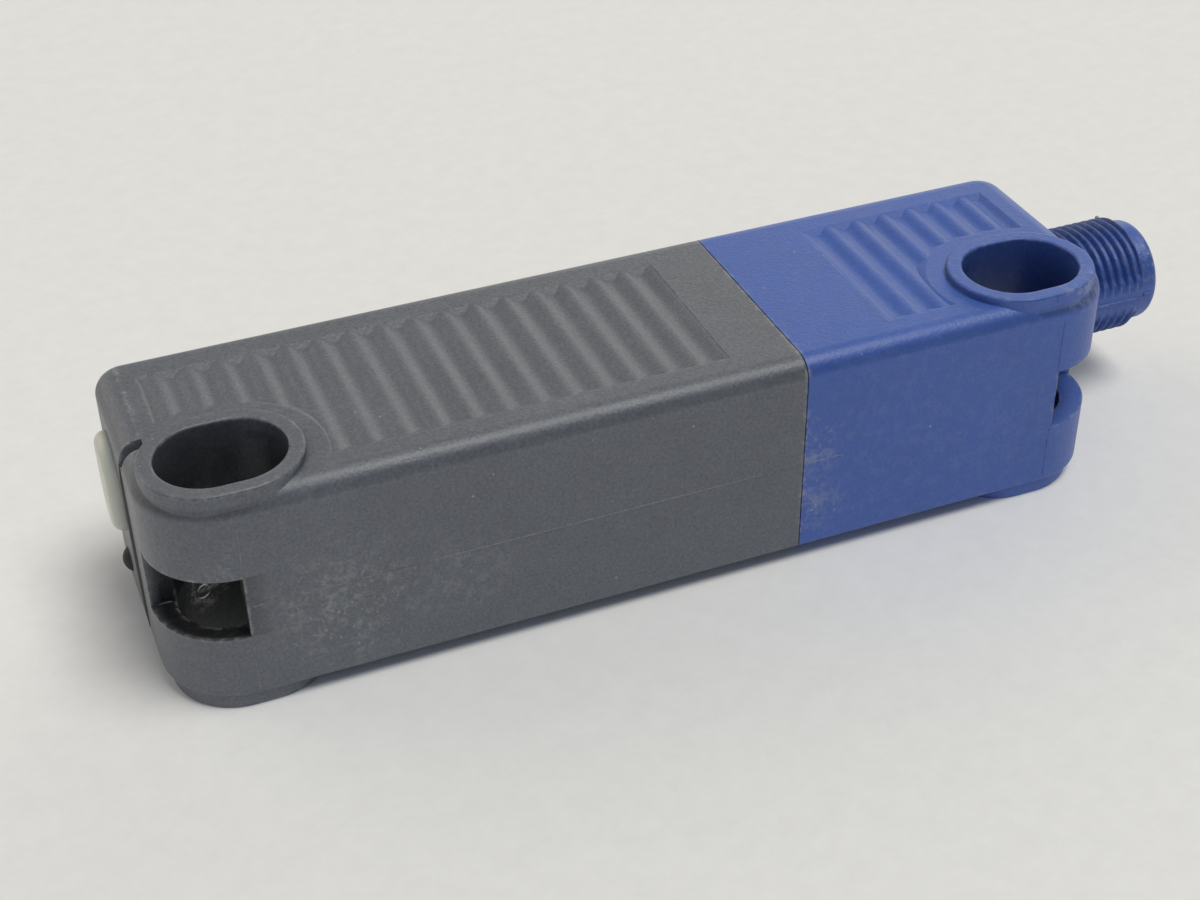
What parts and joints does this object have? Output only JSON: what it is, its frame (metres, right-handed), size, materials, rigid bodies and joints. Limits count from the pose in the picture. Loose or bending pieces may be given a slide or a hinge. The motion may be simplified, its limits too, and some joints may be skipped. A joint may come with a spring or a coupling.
{
  "type": "non-contact safety switch",
  "caption": "Rectangular non-contact safety switch in a moulded housing with collared mounting slots, grip ribs, an end window and a threaded plug spigot.",
  "frame": {"origin": "halfway between the mounting slots, on the plane of the lower collars", "axes": "+X along the housing towards the plug spigot, +Y from the slots towards the plain long side, +Z out of the ribbed top along the slots"},
  "size_m": [0.1095, 0.0256, 0.0233],
  "materials": {
    "dark_moulding": "fine satin moulding",
    "blue_moulding": "fine satin moulding",
    "window": "milky translucent",
    "seal_rubber": "soft matte",
    "former_plastic": "natural moulding",
    "copper_wire": "varnished copper wire",
    "ferrite": "sintered, dull",
    "tinned_metal": "tinned",
    "laminate": "solder mask over glass laminate",
    "package_black": "dull moulded package",
    "steel_can": "plated can",
    "aluminium_can": "bright can",
    "chip_ceramic": "fired, dull",
    "lamp_resin": "clear resin over a pale lamp",
    "filling_resin": "set casting resin",
    "carrier_black": "dull moulding",
    "polyimide": "amber film",
    "gold_contact": "gold plated"
  },
  "bodies": {
    "root": {"sensor_housing": "dark_moulding", "end_cap": "dark_moulding", "connector_housing": "blue_moulding", "indicator_lens": "window", "lens_seal": "seal_rubber", "filler_plug": "seal_rubber", "joint_seal": "seal_rubber", "carrier_ring": "seal_rubber", "antenna_bobbin": "former_plastic", "antenna_winding": "copper_wire", "antenna_core": "ferrite", "antenna_terminals": "tinned_metal", "main_board": "laminate", "led_board": "laminate", "contact_board": "laminate", "controller_chip": "package_black", "transceiver_chip": "package_black", "driver_chips": "package_black", "clock_crystal": "steel_can", "reservoir_capacitors": "aluminium_can", "power_choke": "ferrite", "chip_components": "chip_ceramic", "status_leds": "lamp_resin", "board_header": "package_black", "filling_compound": "filling_resin", "contact_carrier": "carrier_black", "ribbon_link": "polyimide", "contact_pin_1": "gold_contact", "contact_pin_2": "gold_contact", "contact_pin_3": "gold_contact", "contact_pin_4": "gold_contact", "contact_pin_5": "gold_contact", "contact_pin_6": "gold_contact", "contact_pin_7": "gold_contact", "contact_pin_8": "gold_contact"}
  },
  "joints": []
}
